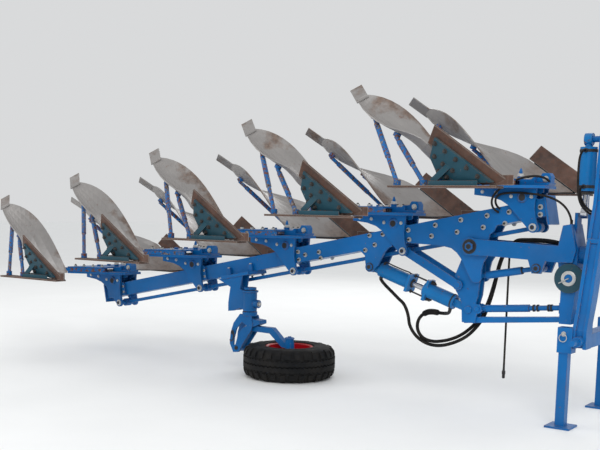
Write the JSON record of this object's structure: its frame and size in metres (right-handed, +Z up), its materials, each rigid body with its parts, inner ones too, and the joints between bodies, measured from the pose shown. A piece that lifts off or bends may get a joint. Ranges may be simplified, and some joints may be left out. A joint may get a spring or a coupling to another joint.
{
  "type": "mounted reversible moldboard plough",
  "caption": "Mounted reversible moldboard plough with variable width linkage, depth wheel and turnover headstock, parked with its bodies turned a quarter for the road.",
  "frame": {"origin": "on the floor, at the middle of the bounding box in X and Y", "axes": "+X forward to the tractor, +Y left, +Z up"},
  "size_m": [5.7514, 1.812, 2.2196],
  "materials": {
    "blue_paint": "satin, weathered",
    "teal_paint": "satin, weathered",
    "red_paint": "satin",
    "mouldboard": "scoured with some rust and soil",
    "worn_steel": "rusted",
    "bright_steel": "polished",
    "tyre": "matt, dusty"
  },
  "bodies": {
    "headstock": {"headstock": "blue_paint", "hitch_shaft": "blue_paint"},
    "stand_left": {"stand_left": "blue_paint"},
    "stand_right": {"stand_right": "blue_paint"},
    "carrier": {"turn_head": "blue_paint", "arm_plates": "blue_paint", "lever_plates": "blue_paint", "upper_spindle": "blue_paint", "lower_turnbuckle": "blue_paint", "lower_channel": "blue_paint", "stop_disc": "teal_paint"},
    "beam": {"main_beam": "blue_paint", "frame_plates": "blue_paint", "rear_ears": "blue_paint", "cylinder_lug": "blue_paint", "wheel_bracket": "blue_paint"},
    "console_1": {"console_1": "blue_paint", "legs_1": "blue_paint", "frogs_1": "teal_paint", "boards_1": "mouldboard", "shares_1": "worn_steel"},
    "console_2": {"console_2": "blue_paint", "legs_2": "blue_paint", "frogs_2": "teal_paint", "boards_2": "mouldboard", "shares_2": "worn_steel"},
    "console_3": {"console_3": "blue_paint", "legs_3": "blue_paint", "frogs_3": "teal_paint", "boards_3": "mouldboard", "shares_3": "worn_steel"},
    "console_4": {"console_4": "blue_paint", "legs_4": "blue_paint", "frogs_4": "teal_paint", "boards_4": "mouldboard", "shares_4": "worn_steel"},
    "console_5": {"console_5": "blue_paint", "legs_5": "blue_paint", "frogs_5": "teal_paint", "boards_5": "mouldboard", "shares_5": "worn_steel"},
    "control_rod": {"control_rod": "blue_paint", "rod_eyes": "blue_paint"},
    "width_link": {"width_link": "blue_paint"},
    "width_cylinder": {"cylinder_rear": "blue_paint"},
    "width_cylinder_front": {"cylinder_front": "blue_paint"},
    "wheel_arm": {"swing_head": "blue_paint"},
    "wheel": {"wheel_rim": "red_paint", "tyre": "tyre"},
    "turn_cylinder": {"turn_barrel": "blue_paint", "turn_rod": "bright_steel"}
  },
  "joints": [
    {"name": "turnover", "type": "hinge", "parent": "headstock", "child": "carrier", "pos_m": [2.77072, 0, 1.08], "axis": [1, 0, 0], "range_deg": [-90, 90]},
    {"name": "width_swing", "type": "hinge", "parent": "carrier", "child": "beam", "pos_m": [1.85872, 0, 1.107], "axis": [0, -1, 0], "range_deg": [-3, 9]},
    {"name": "console_1_pivot", "type": "hinge", "parent": "beam", "child": "console_1", "pos_m": [2.22572, 0, 1.45], "axis": [0, -1, 0], "range_deg": [-9.05, 3.05]},
    {"name": "console_2_pivot", "type": "hinge", "parent": "beam", "child": "console_2", "pos_m": [1.24579, 0, 1.25063], "axis": [0, -1, 0], "range_deg": [-9.05, 3.05]},
    {"name": "console_3_pivot", "type": "hinge", "parent": "beam", "child": "console_3", "pos_m": [0.26587, 0, 1.05126], "axis": [0, -1, 0], "range_deg": [-9.05, 3.05]},
    {"name": "console_4_pivot", "type": "hinge", "parent": "beam", "child": "console_4", "pos_m": [-0.71406, 0, 0.8519], "axis": [0, -1, 0], "range_deg": [-9.05, 3.05]},
    {"name": "console_5_pivot", "type": "hinge", "parent": "beam", "child": "console_5", "pos_m": [-1.69398, 0, 0.65253], "axis": [0, -1, 0], "range_deg": [-9.05, 3.05]},
    {"name": "control_rod_pivot", "type": "hinge", "parent": "console_1", "child": "control_rod", "pos_m": [2.30772, 0, 1.252], "axis": [0, -1, 0], "range_deg": [-3.05, 9.05]},
    {"name": "width_link_pivot", "type": "hinge", "parent": "console_2", "child": "width_link", "pos_m": [1.32779, 0, 1.05263], "axis": [0, -1, 0], "range_deg": [-3.92, 11.66]},
    {"name": "width_cylinder_pivot", "type": "hinge", "parent": "beam", "child": "width_cylinder", "pos_m": [1.03872, 0, 0.921], "axis": [0, -1, 0], "range_deg": [-1.09, 0.4]},
    {"name": "width_cylinder_slide", "type": "slide", "parent": "width_cylinder", "child": "width_cylinder_front", "axis": [0.9504, 0, -0.3109], "range_m": [-0.0694, 0.0235]},
    {"name": "wheel_swing", "type": "hinge", "parent": "beam", "child": "wheel_arm", "pos_m": [-0.08428, -0.1, 0.67], "axis": [0, 0, 1], "range_deg": [-70, 70]},
    {"name": "wheel_spin", "type": "hinge", "parent": "wheel_arm", "child": "wheel", "pos_m": [0.32572, -0.1, 0.13], "axis": [0, 0, 1], "continuous": true},
    {"name": "stand_left_slide", "type": "slide", "parent": "headstock", "child": "stand_left", "axis": [0, 0, 1], "range_m": [0, 0.35]},
    {"name": "stand_right_slide", "type": "slide", "parent": "headstock", "child": "stand_right", "axis": [0, 0, 1], "range_m": [0, 0.35]},
    {"name": "turn_cylinder_pivot", "type": "hinge", "parent": "headstock", "child": "turn_cylinder", "pos_m": [2.62072, 0, 1.83], "axis": [1, 0, 0], "range_deg": [-20.3, 20.3]}
  ],
  "couplings": [
    {"joint": "console_1_pivot", "follows": "width_swing", "ratio": -1},
    {"joint": "console_2_pivot", "follows": "width_swing", "ratio": -1},
    {"joint": "console_3_pivot", "follows": "width_swing", "ratio": -1},
    {"joint": "console_4_pivot", "follows": "width_swing", "ratio": -1},
    {"joint": "console_5_pivot", "follows": "width_swing", "ratio": -1},
    {"joint": "control_rod_pivot", "follows": "width_swing", "ratio": 1},
    {"joint": "width_link_pivot", "follows": "width_swing", "ratio": 1.29},
    {"joint": "width_cylinder_pivot", "follows": "width_swing", "ratio": -0.116},
    {"joint": "width_cylinder_slide", "follows": "width_swing", "m_per_rad": -0.4389},
    {"joint": "turn_cylinder_pivot", "follows": "turnover", "ratio": 0.224}
  ]
}
